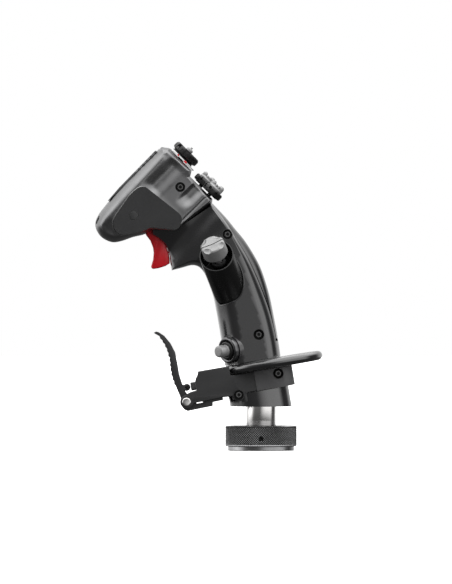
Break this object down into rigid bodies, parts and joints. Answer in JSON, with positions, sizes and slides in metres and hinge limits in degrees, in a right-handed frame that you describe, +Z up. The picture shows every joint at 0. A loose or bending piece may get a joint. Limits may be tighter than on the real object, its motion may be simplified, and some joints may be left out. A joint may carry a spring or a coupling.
{
  "type": "flight joystick",
  "caption": "Upright stick grip with thumb hats on a slanted head, a trigger, a side hat, a pinky button, a finger lever, a hand rest and a knurled coupling ring.",
  "frame": {"origin": "centre of the connector plug's end face, on the axis of the coupling", "axes": "+Z up along the coupling axis, +X towards the pilot with the trigger facing -X, -Y the left side, which carries the side hat and the pinky button"},
  "size_m": [0.1588, 0.0801, 0.2161],
  "materials": {
    "gloss_black": "smooth semi-gloss black",
    "matte_black": "fine matte black",
    "head_grey": "satin gunmetal",
    "ring_metal": "dark satin, knurled",
    "steel": "polished",
    "black_steel": "blackened",
    "button_black": "satin black",
    "button_silver": "matte silver grey",
    "bezel_metal": "dark bright metal",
    "ring_clear": "milky clear with red marks",
    "trigger_red": "satin red",
    "board_green": "circuit board",
    "contact_brass": "plated contacts",
    "loom_black": "black sleeve"
  },
  "bodies": {
    "frame": {"base_collar": "gloss_black", "base_housing": "matte_black", "bracket_core": "matte_black", "bracket_plate_left": "matte_black", "bracket_plate_right": "matte_black", "bracket_yoke": "matte_black", "connector_plug": "matte_black", "connector_post": "steel", "contact_insert": "contact_brass", "grip_screw_lower": "black_steel", "grip_screw_upper": "black_steel", "grip_shell_left": "gloss_black", "grip_shell_right": "gloss_black", "hand_rest": "gloss_black", "head_panel_left": "matte_black", "head_panel_right": "matte_black", "head_ridge_cover": "head_grey", "head_screw": "black_steel", "head_shell_left": "head_grey", "head_shell_right": "head_grey", "housing_screw_left": "black_steel", "housing_screw_right": "black_steel", "lever_pivot_pin": "steel", "lever_sensor_board": "board_green", "lever_spring": "steel", "main_board": "board_green", "mounting_core": "matte_black", "nose_screw_left": "black_steel", "nose_screw_right": "black_steel", "panel_plug_left": "matte_black", "panel_plug_right": "matte_black", "pinky_bezel": "bezel_metal", "pinky_body": "button_black", "plate_screw_left": "black_steel", "plate_screw_right": "black_steel", "side_hat_housing": "gloss_black", "trigger_pin": "steel", "trigger_spring": "steel", "trigger_switch": "gloss_black", "trim_hat_ring": "ring_clear", "wiring_loom": "loom_black"},
    "ring": {"locking_ring": "ring_metal", "ring_set_screw": "black_steel"},
    "lever": {"lever_arm": "matte_black", "lever_roller": "black_steel"},
    "plunger": {"lever_plunger": "head_grey"},
    "trigger": {"trigger": "trigger_red"},
    "trim_gimbal": {"trim_hat_gimbal": "matte_black"},
    "trim_cap": {"trim_hat_cap": "button_black"},
    "trim_nub": {"trim_hat_nub": "button_silver"},
    "tms_gimbal": {"tms_hat_gimbal": "matte_black"},
    "tms_cap": {"tms_hat_skirt": "button_black", "tms_hat_crown": "button_silver"},
    "dms_gimbal": {"dms_hat_gimbal": "matte_black"},
    "dms_cap": {"dms_hat_skirt": "button_black", "dms_hat_crown": "button_silver"},
    "side_gimbal": {"side_hat_gimbal": "matte_black"},
    "side_cap": {"side_hat_cap": "button_silver"},
    "pinky_button": {"pinky_button": "button_silver"},
    "release_button": {"release_button": "button_silver"}
  },
  "joints": [
    {"name": "ring_spin", "type": "hinge", "parent": "frame", "child": "ring", "pos_m": [0, 0, 0.0085], "axis": [0, 0, 1], "continuous": true},
    {"name": "lever_hinge", "type": "hinge", "parent": "frame", "child": "lever", "pos_m": [-0.05198, 0, 0.03418], "axis": [0, 1, 0], "range_deg": [0, 20], "stiffness_Nm_per_rad": 0.8, "springref_deg": -8.59},
    {"name": "plunger_slide", "type": "slide", "parent": "frame", "child": "plunger", "axis": [0.986, 0, 0.1668], "range_m": [0, 0.0034], "deforming": ["lever_spring"]},
    {"name": "trigger_hinge", "type": "hinge", "parent": "frame", "child": "trigger", "pos_m": [-0.0705, 0, 0.1575], "axis": [0, -1, 0], "range_deg": [0, 11], "stiffness_Nm_per_rad": 0.4, "springref_deg": -11.46, "deforming": ["trigger_spring"]},
    {"name": "trim_pitch", "type": "hinge", "parent": "frame", "child": "trim_gimbal", "pos_m": [-0.05823, 0, 0.20177], "axis": [0, 1, 0], "range_deg": [-5, 5], "stiffness_Nm_per_rad": 0.04},
    {"name": "trim_roll", "type": "hinge", "parent": "trim_gimbal", "child": "trim_cap", "pos_m": [-0.05823, 0, 0.20177], "axis": [-0.7071, 0, 0.7071], "range_deg": [-5, 5], "stiffness_Nm_per_rad": 0.04},
    {"name": "trim_push", "type": "slide", "parent": "trim_cap", "child": "trim_nub", "axis": [-0.7071, 0, -0.7071], "range_m": [0, 0.0008], "stiffness_N_per_m": 300, "springref_m": -0.001},
    {"name": "tms_pitch", "type": "hinge", "parent": "frame", "child": "tms_gimbal", "pos_m": [-0.04483, 0.0105, 0.18272], "axis": [0, 1, 0], "range_deg": [-6, 6], "stiffness_Nm_per_rad": 0.04},
    {"name": "tms_roll", "type": "hinge", "parent": "tms_gimbal", "child": "tms_cap", "pos_m": [-0.04483, 0.0105, 0.18272], "axis": [-0.7071, 0, 0.7071], "range_deg": [-6, 6], "stiffness_Nm_per_rad": 0.04},
    {"name": "dms_pitch", "type": "hinge", "parent": "frame", "child": "dms_gimbal", "pos_m": [-0.03868, -0.0105, 0.17656], "axis": [0, 1, 0], "range_deg": [-6, 6], "stiffness_Nm_per_rad": 0.04},
    {"name": "dms_roll", "type": "hinge", "parent": "dms_gimbal", "child": "dms_cap", "pos_m": [-0.03868, -0.0105, 0.17656], "axis": [-0.7071, 0, 0.7071], "range_deg": [-6, 6], "stiffness_Nm_per_rad": 0.04},
    {"name": "side_pitch", "type": "hinge", "parent": "frame", "child": "side_gimbal", "pos_m": [-0.02943, -0.02724, 0.13202], "axis": [-0.9237, 0.383, 0], "range_deg": [-6, 6], "stiffness_Nm_per_rad": 0.04},
    {"name": "side_roll", "type": "hinge", "parent": "side_gimbal", "child": "side_cap", "pos_m": [-0.02943, -0.02724, 0.13202], "axis": [-0.2697, -0.6503, -0.7102], "range_deg": [-6, 6], "stiffness_Nm_per_rad": 0.04},
    {"name": "pinky_push", "type": "slide", "parent": "frame", "child": "pinky_button", "axis": [0.7314, 0.6713, 0.1201], "range_m": [0, 0.0025], "stiffness_N_per_m": 300, "springref_m": -0.001},
    {"name": "release_push", "type": "slide", "parent": "frame", "child": "release_button", "axis": [0, 0, -1], "range_m": [0, 0.0012], "stiffness_N_per_m": 300, "springref_m": -0.001}
  ],
  "couplings": [
    {"joint": "plunger_slide", "follows": "lever_hinge", "m_per_rad": 0.0095}
  ]
}
